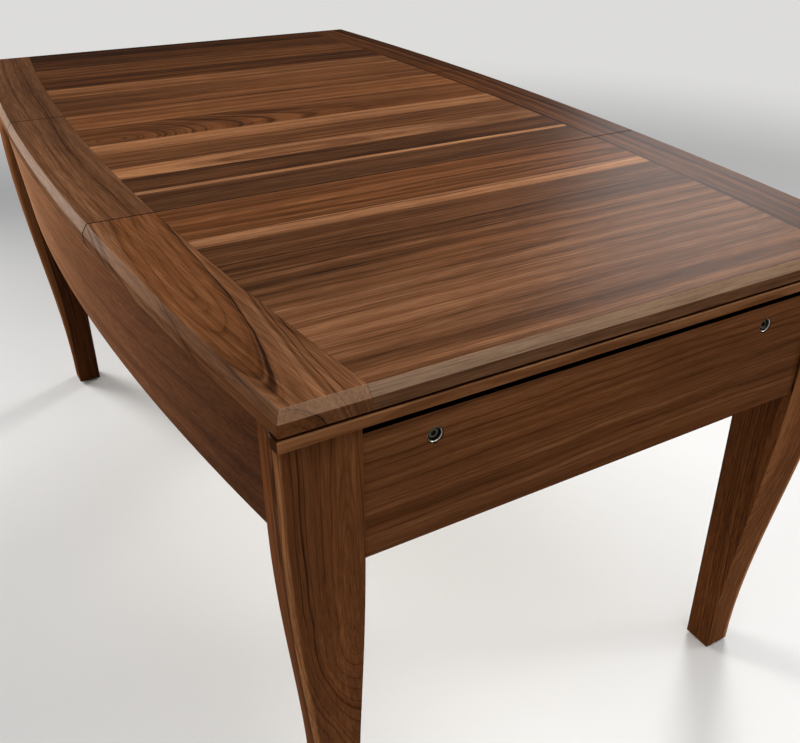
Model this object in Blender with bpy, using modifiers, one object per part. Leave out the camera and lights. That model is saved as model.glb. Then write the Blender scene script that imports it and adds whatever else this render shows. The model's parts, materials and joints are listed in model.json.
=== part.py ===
"""Board game table: a boat-shaped walnut table whose three lift-off leaves cover a sunken play vault.

Frame: the origin is on the floor under the middle of the table. X runs along the length, with the
near end at +X. Y runs across, with the left long side at -Y. Z is up. All sizes are in metres.
"""
import bmesh
import bpy
import math
from mathutils import Matrix, Vector

# The top: three leaves in a row, bowed long edges, straight ends, chamfered upper edges
TABLE_HEIGHT = 0.762
TOP_LENGTH = 1.602
TOP_END_WIDTH = 0.8516
TOP_MID_WIDTH = 0.946
LEAF_THICKNESS = 0.0265
CHAMFER_RUN = 0.0072
CHAMFER_DROP = 0.0118
RAIL_WIDTH = 0.0940
SEAM_GAP = 0.0014
BATTEN_WIDTH = 0.022
BATTEN_DEPTH = 0.018
BATTEN_SEAM_MARGIN = 0.022
BATTEN_CLEARANCE = 0.003

# The rim round the vault, set a little below the leaves
REST_GAP = 0.0065
RIM_THICKNESS = 0.0138
RIM_END_INSET = 0.0050
RIM_SIDE_INSET = 0.0008
RIM_LEG_COVER = 0.0012

# The sunken vault, measured clear between its walls
VAULT_LENGTH = 1.380
VAULT_WIDTH = 0.666
VAULT_DEPTH = 0.085
VAULT_WALL = 0.020
MAT_THICKNESS = 0.004
MAT_MARGIN = 0.0015
PLAY_BOARD_THICKNESS = 0.012
BEARER_DEPTH = 0.032
BEARER_WIDTH = 0.045
BEARER_SPACING = 0.450
CORNER_BLOCK_SIDE = 0.055
CORNER_BLOCK_DEPTH = 0.024

# Legs: upright inner faces, S-curved outer faces, the long outer face canted in plan at the top
LEG_TOP_DEPTH = 0.0920
LEG_TOP_WIDTH_FRONT = 0.0930
LEG_TOP_WIDTH_BACK = 0.0730
LEG_FOOT_SIZE = 0.0470
END_FACE_KNEE = 0.620
LONG_FRONT_KNEE = 0.620
LONG_BACK_KNEE = 0.560
LONG_BACK_ANKLE = 0.100

# Aprons, and the accessory slot over each end apron
APRON_THICKNESS = 0.020
LONG_APRON_BOTTOM = 0.552
END_APRON_BOTTOM = 0.537
END_APRON_INSET = 0.005
SLOT_HEIGHT = 0.0202
APRON_MID_REVEAL = 0.0006
APRON_TIP_INSET = 0.0006
APRON_LEAN = 0.0185
APRON_UPPER_BOW_POWER = 2.6
APRON_LOWER_BOW_POWER = 2.0
TENON_LENGTH = 0.028
TENON_THICKNESS = 0.009
TENON_SHOULDER = 0.022

# Metal dock sockets in the end aprons
SOCKET_SPACING = 0.494
SOCKET_DROP = 0.0295
SOCKET_FLANGE_DIAMETER = 0.0200
SOCKET_FLANGE_THICKNESS = 0.0016
SOCKET_FLANGE_RECESS = 0.0012
SOCKET_BODY_DIAMETER = 0.0185
SOCKET_BORE_DIAMETER = 0.0165
SOCKET_DEPTH = 0.0145
SOCKET_FLOOR = 0.003
SCREW_HEAD_DIAMETER = 0.0130
SCREW_HEAD_HEIGHT = 0.0080
SCREW_HEAD_BEVEL = 0.0008
SCREW_SHANK_DIAMETER = 0.0080
SCREW_TAIL = 0.008
HEX_KEY_WIDTH = 0.0060
HEX_KEY_DEPTH = 0.0030

# Glides under the feet
GLIDE_DIAMETER = 0.034
GLIDE_THICKNESS = 0.003
GLIDE_STEM_DIAMETER = 0.010
GLIDE_STEM_LENGTH = 0.018

# Fits and mesh fineness
FIT_GAP = 0.0003
MORTISE_END_CLEARANCE = 0.002
LEAF_BOW_STEPS = 10
FRAME_BOW_STEPS = 40
APRON_HEIGHT_STEPS = 4
LEG_CURVE_STEPS = 16
TURNED_STEPS = 28

# Heights worked out from the top down
LEAF_BOTTOM = TABLE_HEIGHT - LEAF_THICKNESS
CHAMFER_FOOT = TABLE_HEIGHT - CHAMFER_DROP
LONG_APRON_TOP = LEAF_BOTTOM - FIT_GAP
RIM_TOP = LEAF_BOTTOM - REST_GAP
RIM_BOTTOM = RIM_TOP - RIM_THICKNESS
FRAME_TOP = RIM_BOTTOM - FIT_GAP
END_APRON_TOP = RIM_BOTTOM - SLOT_HEIGHT
MAT_TOP = RIM_TOP - VAULT_DEPTH
BOARD_TOP = MAT_TOP - MAT_THICKNESS - FIT_GAP
BOARD_BOTTOM = BOARD_TOP - PLAY_BOARD_THICKNESS
BEARER_TOP = BOARD_BOTTOM - FIT_GAP
BEARER_BOTTOM = BEARER_TOP - BEARER_DEPTH
SOCKET_HEIGHT = END_APRON_TOP - SOCKET_DROP

# Places worked out from the middle outwards
HALF_LENGTH = TOP_LENGTH / 2
LEG_IN_X = VAULT_LENGTH / 2
LEG_IN_Y = VAULT_WIDTH / 2
LEG_OUT_X = LEG_IN_X + LEG_TOP_DEPTH
LEG_BACK_Y = LEG_IN_Y + LEG_TOP_WIDTH_BACK
APRON_TIP = LEG_BACK_Y - APRON_TIP_INSET
APRON_MID = TOP_MID_WIDTH / 2 - APRON_MID_REVEAL
END_APRON_FACE = LEG_OUT_X - END_APRON_INSET
END_TENON_X = END_APRON_FACE - APRON_THICKNESS / 2
LONG_TENON_Y = APRON_TIP - APRON_THICKNESS / 2

LEAF_NAMES = ("far", "middle", "near")
LEAF_LENGTH = TOP_LENGTH / len(LEAF_NAMES)
ENDS = (("near", 1), ("far", -1))
SIDES = (("left", -1), ("right", 1))

PARTS = bpy.data.collections.new("board_game_table")
CUTTERS = bpy.data.collections.new("cutters")


def clear_scene():
    """Empty the file and link the two collections."""
    for old in list(bpy.data.objects):
        bpy.data.objects.remove(old, do_unlink=True)
    for collection in (PARTS, CUTTERS):
        bpy.context.scene.collection.children.link(collection)


def make_material(name, colour, roughness, metallic=0.0):
    """A Principled material with one colour."""
    material = bpy.data.materials.new(name)
    material.use_nodes = True
    shader = material.node_tree.nodes["Principled BSDF"]
    shader.inputs["Base Color"].default_value = (*colour, 1.0)
    shader.inputs["Roughness"].default_value = roughness
    shader.inputs["Metallic"].default_value = metallic
    return material


WALNUT_TOP = make_material("walnut_top", (0.200, 0.090, 0.040), 0.42)
WALNUT_FRAME = make_material("walnut_frame", (0.130, 0.055, 0.025), 0.46)
BIRCH_PLY = make_material("birch_ply", (0.560, 0.400, 0.235), 0.60)
PLAY_CLOTH = make_material("play_cloth", (0.020, 0.034, 0.048), 0.95)
STEEL = make_material("stainless_steel", (0.560, 0.550, 0.520), 0.28, 1.0)
DARK_STEEL = make_material("blackened_steel", (0.060, 0.058, 0.055), 0.40, 1.0)
NYLON = make_material("glide_nylon", (0.045, 0.040, 0.036), 0.55)


def add_object(name, mesh, material, place=(0, 0, 0), parent=None):
    """Put a mesh in the scene as a named part, its world place given."""
    obj = bpy.data.objects.new(name, mesh)
    PARTS.objects.link(obj)
    mesh.materials.append(material)
    obj.location = place
    if parent:
        obj.parent = parent
        obj.location = Vector(place) - parent.location
    return obj


def combine(obj, operation, name, mesh, place):
    """A live Boolean of a part with a hidden cutter."""
    cutter = bpy.data.objects.new(name, mesh)
    CUTTERS.objects.link(cutter)
    cutter.location = place
    cutter.hide_render = True
    cutter.display_type = "WIRE"
    step = obj.modifiers.new(name, "BOOLEAN")
    step.operation = operation
    step.solver = "EXACT"
    step.object = cutter


def mesh_from(name, work):
    """Close a bmesh off into mesh data with its faces pointing out."""
    bmesh.ops.remove_doubles(work, verts=work.verts, dist=1e-6)
    bmesh.ops.recalc_face_normals(work, faces=work.faces)
    mesh = bpy.data.meshes.new(name)
    work.to_mesh(mesh)
    work.free()
    return mesh


def box_mesh(name, size):
    """A box about the origin, its size built in."""
    work = bmesh.new()
    bmesh.ops.create_cube(work, size=1.0)
    bmesh.ops.scale(work, verts=work.verts, vec=size)
    return mesh_from(name, work)


def rod_mesh(name, radius, length, axis, sides=TURNED_STEPS):
    """A plain rod about the origin, along Z or X."""
    work = bmesh.new()
    turned = Matrix.Rotation(math.pi / 2, 4, "Y") if axis == "X" else Matrix.Identity(4)
    bmesh.ops.create_cone(work, cap_ends=True, segments=sides, radius1=radius, radius2=radius,
                          depth=length, matrix=turned)
    return mesh_from(name, work)


def add_board(name, low, high, material, parent=None):
    """A square-edged board between two opposite corners."""
    corners = [sorted(pair) for pair in zip(low, high)]
    low = Vector([pair[0] for pair in corners])
    high = Vector([pair[1] for pair in corners])
    return add_object(name, box_mesh(name, high - low), material, (low + high) / 2, parent)


def loft_mesh(name, rings, place):
    """A closed skin over a row of rings that have the same count of points, capped at both ends."""
    work = bmesh.new()
    place = Vector(place)
    loops = [[work.verts.new(Vector(point) - place) for point in ring] for ring in rings]
    count = len(loops[0])
    for near, far in zip(loops, loops[1:]):
        for i in range(count):
            j = (i + 1) % count
            work.faces.new((near[i], near[j], far[j], far[i]))
    for loop in (loops[0], loops[-1]):
        for i in range((count - 1) // 2):
            corners = dict.fromkeys((i, i + 1, count - 2 - i, count - 1 - i))
            work.faces.new([loop[k] for k in corners])
    return mesh_from(name, work)


def outline_mesh(name, points, thickness):
    """A flat outline given as a filled 2D curve, extruded about the XY plane."""
    curve = bpy.data.curves.new(name, "CURVE")
    curve.dimensions = "2D"
    curve.fill_mode = "BOTH"
    curve.extrude = thickness / 2
    spline = curve.splines.new("POLY")
    spline.points.add(len(points) - 1)
    for knot, (x, y) in zip(spline.points, points):
        knot.co = (x, y, 0, 1)
    spline.use_cyclic_u = True
    holder = bpy.data.objects.new(name, curve)
    CUTTERS.objects.link(holder)
    graph = bpy.context.evaluated_depsgraph_get()
    solid = bpy.data.meshes.new_from_object(holder.evaluated_get(graph))
    bpy.data.objects.remove(holder, do_unlink=True)
    work = bmesh.new()
    work.from_mesh(solid)
    bpy.data.meshes.remove(solid)
    return mesh_from(name, work)


def add_turned(name, profile, material, place, facing=(0, 0, 0)):
    """A turned part: (radius, height) points, outer side from top to bottom, spun about its own Z."""
    work = bmesh.new()
    knots = [work.verts.new((radius, 0, height)) for radius, height in profile]
    for first, second in zip(knots, knots[1:]):
        work.edges.new((first, second))
    mesh = bpy.data.meshes.new(name)
    work.to_mesh(mesh)
    work.free()
    obj = add_object(name, mesh, material, place)
    obj.rotation_euler = facing
    spin = obj.modifiers.new("spin", "SCREW")
    spin.axis = "Z"
    spin.steps = TURNED_STEPS
    spin.render_steps = TURNED_STEPS
    spin.use_merge_vertices = True
    spin.merge_threshold = 0.00001
    spin.use_smooth_shade = True
    return obj


def steps_between(start, end, count):
    return [start + (end - start) * i / count for i in range(count + 1)]


def bow(x, tip, mid, half_length, power=2.0):
    """Distance from the centre line of a side that swells from tip at its ends to mid."""
    return mid - (mid - tip) * abs(x / half_length) ** power


def top_edge(x):
    return bow(x, TOP_END_WIDTH / 2, TOP_MID_WIDTH / 2, HALF_LENGTH)


def leaf_stations(start, end):
    """Stations along one leaf: x, height of the upper face, chamfer run left at the long edge."""
    first = start + CHAMFER_RUN if start <= -HALF_LENGTH else start
    last = end - CHAMFER_RUN if end >= HALF_LENGTH else end
    rows = [(x, TABLE_HEIGHT, CHAMFER_RUN) for x in steps_between(first, last, LEAF_BOW_STEPS)]
    if first > start:
        rows.insert(0, (start, CHAMFER_FOOT, 0.0))
    if last < end:
        rows.append((end, CHAMFER_FOOT, 0.0))
    return rows


def rail_ring(x, upper, run, side):
    """One section of a long rail: bowed inside and out, its outer arris chamfered."""
    outer = top_edge(x)
    inner = outer - RAIL_WIDTH
    section = ((inner, LEAF_BOTTOM), (outer, LEAF_BOTTOM), (outer, CHAMFER_FOOT),
               (outer - run, upper), (inner, upper))
    return [(x, side * y, z) for y, z in section]


def panel_ring(x, upper):
    """One section of the plank panel that fills the space between the two rails."""
    half = top_edge(x) - RAIL_WIDTH - FIT_GAP
    section = ((-half, LEAF_BOTTOM), (half, LEAF_BOTTOM), (half, upper), (-half, upper))
    return [(x, y, z) for y, z in section]


def build_leaf(index, leaf):
    """One lift-off leaf: plank panel, two bowed rails and two locating battens on a lift empty."""
    start = -HALF_LENGTH + index * LEAF_LENGTH
    end = start + LEAF_LENGTH
    if index > 0:
        start += SEAM_GAP / 2
    if index < len(LEAF_NAMES) - 1:
        end -= SEAM_GAP / 2
    lift = bpy.data.objects.new(f"leaf_{leaf}_lift", None)
    lift.location = ((start + end) / 2, 0, LEAF_BOTTOM)
    PARTS.objects.link(lift)
    rows = leaf_stations(start, end)
    name = f"leaf_{leaf}_panel"
    rings = [panel_ring(x, upper) for x, upper, run in rows]
    add_object(name, loft_mesh(name, rings, lift.location), WALNUT_TOP, lift.location, lift)
    batten_start = max(start + BATTEN_SEAM_MARGIN, -LEG_IN_X + BATTEN_CLEARANCE)
    batten_end = min(end - BATTEN_SEAM_MARGIN, LEG_IN_X - BATTEN_CLEARANCE)
    batten_out = LEG_IN_Y - BATTEN_CLEARANCE
    batten_top = LEAF_BOTTOM - FIT_GAP
    for side_name, side in SIDES:
        name = f"leaf_{leaf}_rail_{side_name}"
        rings = [rail_ring(x, upper, run, side) for x, upper, run in rows]
        add_object(name, loft_mesh(name, rings, lift.location), WALNUT_TOP, lift.location, lift)
        add_board(f"leaf_{leaf}_batten_{side_name}",
                  (batten_start, side * (batten_out - BATTEN_WIDTH), batten_top - BATTEN_DEPTH),
                  (batten_end, side * batten_out, batten_top), WALNUT_FRAME, lift)


def build_rim():
    """Two end boards over the legs, and two side boards between the vault and the bowed aprons."""
    middle = (RIM_TOP + RIM_BOTTOM) / 2
    corner_x = HALF_LENGTH - RIM_END_INSET
    corner_y = top_edge(corner_x) - RIM_SIDE_INSET
    over_back = LEG_BACK_Y + RIM_LEG_COVER
    over_front = LEG_IN_Y + LEG_TOP_WIDTH_FRONT + RIM_LEG_COVER
    for end_name, end in ENDS:
        right = [(end * LEG_IN_X, over_back), (end * LEG_OUT_X, over_front), (end * corner_x, corner_y)]
        left = [(x, -y) for x, y in reversed(right)]
        name = f"rim_{end_name}"
        add_object(name, outline_mesh(name, right + left, RIM_THICKNESS), WALNUT_FRAME, (0, 0, middle))
    reach = LEG_IN_X - FIT_GAP
    for side_name, side in SIDES:
        inside = [(reach, side * LEG_IN_Y), (-reach, side * LEG_IN_Y)]
        outside = [(x, side * (long_apron_face(x, RIM_BOTTOM) - APRON_THICKNESS - FIT_GAP))
                   for x in steps_between(-reach, reach, FRAME_BOW_STEPS)]
        name = f"rim_{side_name}"
        add_object(name, outline_mesh(name, inside + outside, RIM_THICKNESS), WALNUT_FRAME, (0, 0, middle))


def s_curve(height, ankle, knee):
    """Share of a leg's swell at a height: 0 up to the ankle, 1 from the knee, an S between."""
    share = min(max((height - ankle) / (knee - ankle), 0.0), 1.0)
    return (1 - math.cos(math.pi * share)) / 2


def leg_ring(height, end, side):
    """One level section of a leg: square at the foot, canted along its long outer face at the top."""
    depth = LEG_FOOT_SIZE + (LEG_TOP_DEPTH - LEG_FOOT_SIZE) * s_curve(height, 0, END_FACE_KNEE)
    front = LEG_FOOT_SIZE + (LEG_TOP_WIDTH_FRONT - LEG_FOOT_SIZE) * s_curve(height, 0, LONG_FRONT_KNEE)
    back = LEG_FOOT_SIZE + (LEG_TOP_WIDTH_BACK - LEG_FOOT_SIZE) * s_curve(height, LONG_BACK_ANKLE, LONG_BACK_KNEE)
    section = ((0, 0), (depth, 0), (depth, front), (0, back))
    return [(end * (LEG_IN_X + x), side * (LEG_IN_Y + y), height) for x, y in section]


def build_leg(end_name, end, side_name, side):
    """A lofted leg, mortised for its two aprons and drilled for its glide."""
    name = f"leg_{end_name}_{side_name}"
    foot = Vector((end * (LEG_IN_X + LEG_FOOT_SIZE / 2), side * (LEG_IN_Y + LEG_FOOT_SIZE / 2), 0))
    knee = max(END_FACE_KNEE, LONG_FRONT_KNEE, LONG_BACK_KNEE)
    heights = steps_between(GLIDE_THICKNESS, knee, LEG_CURVE_STEPS) + [FRAME_TOP]
    rings = [leg_ring(height, end, side) for height in heights]
    leg = add_object(name, loft_mesh(name, rings, foot), WALNUT_FRAME, foot)
    deep = 2 * (TENON_LENGTH + MORTISE_END_CLEARANCE)
    wide = TENON_THICKNESS + 2 * FIT_GAP
    low = LONG_APRON_BOTTOM + TENON_SHOULDER - FIT_GAP
    high = FRAME_TOP - TENON_SHOULDER + FIT_GAP
    combine(leg, "DIFFERENCE", name + "_long_mortise", box_mesh("mortise", (deep, wide, high - low)),
            (end * LEG_IN_X, side * LONG_TENON_Y, (low + high) / 2))
    low = END_APRON_BOTTOM + TENON_SHOULDER - FIT_GAP
    high = END_APRON_TOP - TENON_SHOULDER + FIT_GAP
    combine(leg, "DIFFERENCE", name + "_end_mortise", box_mesh("mortise", (wide, deep, high - low)),
            (end * END_TENON_X, side * LEG_IN_Y, (low + high) / 2))
    stem = GLIDE_STEM_DIAMETER / 2
    reach = GLIDE_THICKNESS + GLIDE_STEM_LENGTH + MORTISE_END_CLEARANCE
    combine(leg, "DIFFERENCE", name + "_glide_hole", rod_mesh("glide_hole", stem + FIT_GAP, 2 * reach, "Z"), foot)
    pad = GLIDE_DIAMETER / 2
    seat = GLIDE_THICKNESS - FIT_GAP
    profile = [(0, seat + GLIDE_STEM_LENGTH), (stem, seat + GLIDE_STEM_LENGTH), (stem, seat), (pad, seat),
               (pad, seat / 2), (pad - seat / 2, 0), (0, 0)]
    add_turned(f"glide_{end_name}_{side_name}", profile, NYLON, foot)


def long_apron_face(x, height):
    """Outer face of a long apron: a full bow along its top edge, a flatter one along its bottom edge."""
    upper = bow(x, APRON_TIP, APRON_MID, LEG_IN_X, APRON_UPPER_BOW_POWER)
    lower = bow(x, APRON_TIP, APRON_MID - APRON_LEAN, LEG_IN_X, APRON_LOWER_BOW_POWER)
    share = (height - LONG_APRON_BOTTOM) / (LONG_APRON_TOP - LONG_APRON_BOTTOM)
    return lower + (upper - lower) * share


def long_apron_ring(x, side):
    """One upright section of a long apron, up its outer face and down its inner one."""
    heights = steps_between(LONG_APRON_BOTTOM, RIM_BOTTOM, APRON_HEIGHT_STEPS) + [LONG_APRON_TOP]
    outer = [(long_apron_face(x, z), z) for z in heights]
    inner = [(y - APRON_THICKNESS, z) for y, z in reversed(outer)]
    return [(x, side * y, z) for y, z in outer + inner]


def build_long_apron(side_name, side):
    """A bowed, leaning apron that carries the leaves, tenoned into two legs."""
    name = f"long_apron_{side_name}"
    reach = LEG_IN_X - FIT_GAP
    place = (0, side * LONG_TENON_Y, (LONG_APRON_BOTTOM + LONG_APRON_TOP) / 2)
    rings = [long_apron_ring(x, side) for x in steps_between(-reach, reach, FRAME_BOW_STEPS)]
    apron = add_object(name, loft_mesh(name, rings, place), WALNUT_FRAME, place)
    low = LONG_APRON_BOTTOM + TENON_SHOULDER
    high = FRAME_TOP - TENON_SHOULDER
    for end_name, end in ENDS:
        combine(apron, "UNION", f"{name}_tenon_{end_name}",
                box_mesh("tenon", (2 * TENON_LENGTH, TENON_THICKNESS, high - low)),
                (end * LEG_IN_X, side * LONG_TENON_Y, (low + high) / 2))


def build_end_apron(end_name, end):
    """A straight end apron, tenoned into two legs and bored for two dock sockets."""
    name = f"end_apron_{end_name}"
    reach = LEG_IN_Y - FIT_GAP
    apron = add_board(name, (end * (END_APRON_FACE - APRON_THICKNESS), -reach, END_APRON_BOTTOM),
                      (end * END_APRON_FACE, reach, END_APRON_TOP), WALNUT_FRAME)
    low = END_APRON_BOTTOM + TENON_SHOULDER
    high = END_APRON_TOP - TENON_SHOULDER
    sink = SOCKET_FLANGE_RECESS + SOCKET_FLANGE_THICKNESS + FIT_GAP
    hole = SOCKET_BODY_DIAMETER / 2 + FIT_GAP
    pocket = SOCKET_FLANGE_DIAMETER / 2 + FIT_GAP
    for side_name, side in SIDES:
        combine(apron, "UNION", f"{name}_tenon_{side_name}",
                box_mesh("tenon", (TENON_THICKNESS, 2 * TENON_LENGTH, high - low)),
                (end * END_TENON_X, side * LEG_IN_Y, (low + high) / 2))
        mouth = (end * END_APRON_FACE, side * SOCKET_SPACING / 2, SOCKET_HEIGHT)
        combine(apron, "DIFFERENCE", f"{name}_hole_{side_name}",
                rod_mesh("socket_hole", hole, 3 * APRON_THICKNESS, "X"), mouth)
        combine(apron, "DIFFERENCE", f"{name}_pocket_{side_name}",
                rod_mesh("socket_pocket", pocket, 2 * sink, "X"), mouth)
        build_socket(f"{end_name}_{side_name}", end, side)


def build_socket(place_name, end, side):
    """A flanged metal socket with a cap screw on its floor, its mouth facing out of the table's end."""
    mouth = END_APRON_FACE - SOCKET_FLANGE_RECESS
    place = Vector((end * mouth, side * SOCKET_SPACING / 2, SOCKET_HEIGHT))
    facing = (0, end * math.pi / 2, 0)
    flange = SOCKET_FLANGE_DIAMETER / 2
    body = SOCKET_BODY_DIAMETER / 2
    bore = SOCKET_BORE_DIAMETER / 2
    shank = SCREW_SHANK_DIAMETER / 2
    lip = SOCKET_FLANGE_THICKNESS / 2
    floor = SOCKET_FLOOR - SOCKET_DEPTH
    profile = [(bore + lip, 0), (flange - lip, 0), (flange, -lip), (flange, -SOCKET_FLANGE_THICKNESS),
               (body, -SOCKET_FLANGE_THICKNESS), (body, -SOCKET_DEPTH), (shank + FIT_GAP, -SOCKET_DEPTH),
               (shank + FIT_GAP, floor), (bore, floor), (bore, -lip), (bore + lip, 0)]
    add_turned(f"dock_socket_{place_name}", profile, STEEL, place, facing)
    head = SCREW_HEAD_DIAMETER / 2
    seat = floor + FIT_GAP
    crown = seat + SCREW_HEAD_HEIGHT
    tail = -SOCKET_DEPTH - SCREW_TAIL
    profile = [(0, crown), (head - SCREW_HEAD_BEVEL, crown), (head, crown - SCREW_HEAD_BEVEL), (head, seat),
               (shank, seat), (shank, tail), (0, tail)]
    screw = add_turned(f"dock_screw_{place_name}", profile, DARK_STEEL, place, facing)
    hex_radius = HEX_KEY_WIDTH / math.sqrt(3)
    combine(screw, "DIFFERENCE", f"hex_key_{place_name}", rod_mesh("hex_key", hex_radius, 2 * HEX_KEY_DEPTH, "X", 6),
            place + Vector((end * crown, 0, 0)))


def build_vault():
    """Walls, floor, mat, bearers and corner blocks of the sunken play area."""
    reach_x = LEG_IN_X - FIT_GAP
    reach_y = LEG_IN_Y - FIT_GAP
    for side_name, side in SIDES:
        add_board(f"vault_wall_{side_name}", (-reach_x, side * LEG_IN_Y, BEARER_BOTTOM),
                  (reach_x, side * (LEG_IN_Y + VAULT_WALL), FRAME_TOP), WALNUT_FRAME)
    for end_name, end in ENDS:
        add_board(f"vault_wall_{end_name}", (end * LEG_IN_X, -reach_y, BEARER_BOTTOM),
                  (end * (LEG_IN_X + VAULT_WALL), reach_y, FRAME_TOP), WALNUT_FRAME)
    add_board("play_board", (-reach_x, -reach_y, BOARD_BOTTOM), (reach_x, reach_y, BOARD_TOP), BIRCH_PLY)
    mat_x = LEG_IN_X - MAT_MARGIN
    mat_y = LEG_IN_Y - MAT_MARGIN
    add_board("play_mat", (-mat_x, -mat_y, BOARD_TOP + FIT_GAP), (mat_x, mat_y, MAT_TOP), PLAY_CLOTH)
    for bearer_name, x in (("far", -BEARER_SPACING), ("middle", 0.0), ("near", BEARER_SPACING)):
        add_board(f"bearer_{bearer_name}", (x - BEARER_WIDTH / 2, -reach_y, BEARER_BOTTOM),
                  (x + BEARER_WIDTH / 2, reach_y, BEARER_TOP), BIRCH_PLY)
    for end_name, end in ENDS:
        for side_name, side in SIDES:
            points = [(end * reach_x, side * reach_y), (end * (reach_x - CORNER_BLOCK_SIDE), side * reach_y),
                      (end * reach_x, side * (reach_y - CORNER_BLOCK_SIDE))]
            name = f"corner_block_{end_name}_{side_name}"
            add_object(name, outline_mesh(name, points, CORNER_BLOCK_DEPTH), BIRCH_PLY,
                       (0, 0, BEARER_TOP - CORNER_BLOCK_DEPTH / 2))


def main():
    clear_scene()
    for index, leaf in enumerate(LEAF_NAMES):
        build_leaf(index, leaf)
    build_rim()
    for end_name, end in ENDS:
        for side_name, side in SIDES:
            build_leg(end_name, end, side_name, side)
    for side_name, side in SIDES:
        build_long_apron(side_name, side)
    for end_name, end in ENDS:
        build_end_apron(end_name, end)
    build_vault()
    bpy.context.view_layer.update()


main()
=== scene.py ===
"""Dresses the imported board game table: eased walnut boards, a cloth play mat, metal sockets and a stage."""
import json
import math
from typing import NamedTuple

import bmesh
import bpy
from mathutils import Matrix, Vector


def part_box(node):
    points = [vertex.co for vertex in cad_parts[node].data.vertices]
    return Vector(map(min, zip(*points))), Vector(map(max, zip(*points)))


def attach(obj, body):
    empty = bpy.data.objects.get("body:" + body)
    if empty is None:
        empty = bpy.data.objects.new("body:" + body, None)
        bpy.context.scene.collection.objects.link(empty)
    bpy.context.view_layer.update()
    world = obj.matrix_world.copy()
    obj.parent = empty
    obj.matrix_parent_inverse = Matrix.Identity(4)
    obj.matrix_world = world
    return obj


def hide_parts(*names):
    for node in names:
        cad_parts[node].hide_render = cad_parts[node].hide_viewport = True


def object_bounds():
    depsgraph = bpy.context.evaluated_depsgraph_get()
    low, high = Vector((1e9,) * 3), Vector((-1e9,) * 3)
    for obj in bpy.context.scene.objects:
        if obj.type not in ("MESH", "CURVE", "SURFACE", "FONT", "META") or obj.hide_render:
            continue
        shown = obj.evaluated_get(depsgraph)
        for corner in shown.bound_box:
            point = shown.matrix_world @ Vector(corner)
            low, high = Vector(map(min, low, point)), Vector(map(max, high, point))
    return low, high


bl_info = {
    "name": "Board Game Table Looks",
    "version": (1, 0, 0),
    "blender": (4, 5, 0),
    "location": "View3D > Sidebar > Table",
    "description": "Eased walnut boards, play mat, metal sockets and a plain stage for a board game table",
    "category": "Object",
}

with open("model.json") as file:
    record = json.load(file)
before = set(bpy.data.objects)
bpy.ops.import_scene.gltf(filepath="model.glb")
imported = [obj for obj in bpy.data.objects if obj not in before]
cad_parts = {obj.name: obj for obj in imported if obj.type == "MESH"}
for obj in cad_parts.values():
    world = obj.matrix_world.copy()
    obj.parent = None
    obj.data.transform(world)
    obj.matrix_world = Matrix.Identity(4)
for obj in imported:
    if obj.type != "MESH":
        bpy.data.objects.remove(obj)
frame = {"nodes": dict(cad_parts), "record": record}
NODES = frame["nodes"]
CAD_BOX = [list(corner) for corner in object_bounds()]
BODY_OF = {node: body for body, nodes in frame["record"]["behaviour"]["bodies"].items() for node in nodes}

LEAVES = ("far", "middle", "near")
ENDS = {"near": 1, "far": -1}
SIDES = {"left": -1, "right": 1}


class Cut(NamedTuple):
    """How a board was cut from its trunk, with lengths in metres."""

    # Shade, and hue from grey to red
    tone: float
    warm: float
    # How far aside of a line along the show face the heart line runs, and how far below that face
    heart: float
    deep: float
    # Where along the board the heart line comes nearest to the face, and how fast it dives from there
    crest: float = 0.0
    bend: float = 0.10


# Planks from the far end to the near one, each with its far edge in metres
PLANKS = (
    (-0.801, Cut(-0.38, 0.85, 0.25, 0.10)),
    (-0.722, Cut(-0.26, 0.75, -0.25, 0.10, crest=0.10)),
    (-0.640, Cut(-0.13, 0.75, 0.22, 0.08)),
    (-0.548, Cut(-0.28, 0.75, 0.22, 0.08)),
    (-0.465, Cut(-0.01, 0.65, 0.30, 0.10, bend=0.05)),
    (-0.394, Cut(-0.13, 0.60, -0.20, 0.12)),
    (-0.267, Cut(-0.03, 0.75, 0.24, 0.08)),
    (-0.168, Cut(-0.08, 0.80, 0.036, 0.002, crest=-0.338, bend=8.00)),
    (-0.0645, Cut(0.16, 0.55, 0.28, 0.10, bend=0.05)),
    (-0.0122, Cut(-0.10, 0.50, -0.20, 0.10)),
    (0.0626, Cut(0.10, 0.50, -0.012, 0.006, crest=-0.10, bend=0.80)),
    (0.1155, Cut(-0.20, 0.35, 0.16, 0.10)),
    (0.1805, Cut(0.20, 0.45, 0.30, 0.10, bend=0.05)),
    (0.1910, Cut(-0.16, 0.15, -0.01, 0.04, crest=0.10, bend=0.15)),
    (0.267, Cut(-0.10, 0.70, 0.03, 0.02, crest=0.15, bend=0.12)),
    (0.383, Cut(0.16, 0.50, 0.28, 0.10, bend=0.05)),
    (0.4145, Cut(-0.17, 0.30, -0.22, 0.12)),
    (0.5167, Cut(-0.12, 0.30, 0.20, 0.10)),
    (0.6067, Cut(0.00, 0.30, 0.18, 0.07)),
    (0.7356, Cut(-0.06, 0.35, -0.20, 0.10)),
)
HALF_PLANK = 0.045

# The rails of the leaves: dark ones on the right, grey ones and a lobed one on the left
DARK_RAIL = Cut(-0.26, 0.85, 0.16, 0.060)
GREY_RAIL = Cut(-0.07, 0.12, 0.07, 0.050)
LOBED_RAIL = Cut(0.03, 0.40, -0.0015, 0.001, crest=0.48, bend=1.25)
RAIL_CUTS = (DARK_RAIL, GREY_RAIL, LOBED_RAIL)
RAILS = {
    ("far", "left"): GREY_RAIL,
    ("middle", "left"): GREY_RAIL,
    ("near", "left"): LOBED_RAIL,
    ("far", "right"): DARK_RAIL,
    ("middle", "right"): DARK_RAIL,
    ("near", "right"): DARK_RAIL,
}
# How far from the heart line the lobed rail shows one strong dark vein
VEIN = 0.034
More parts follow.
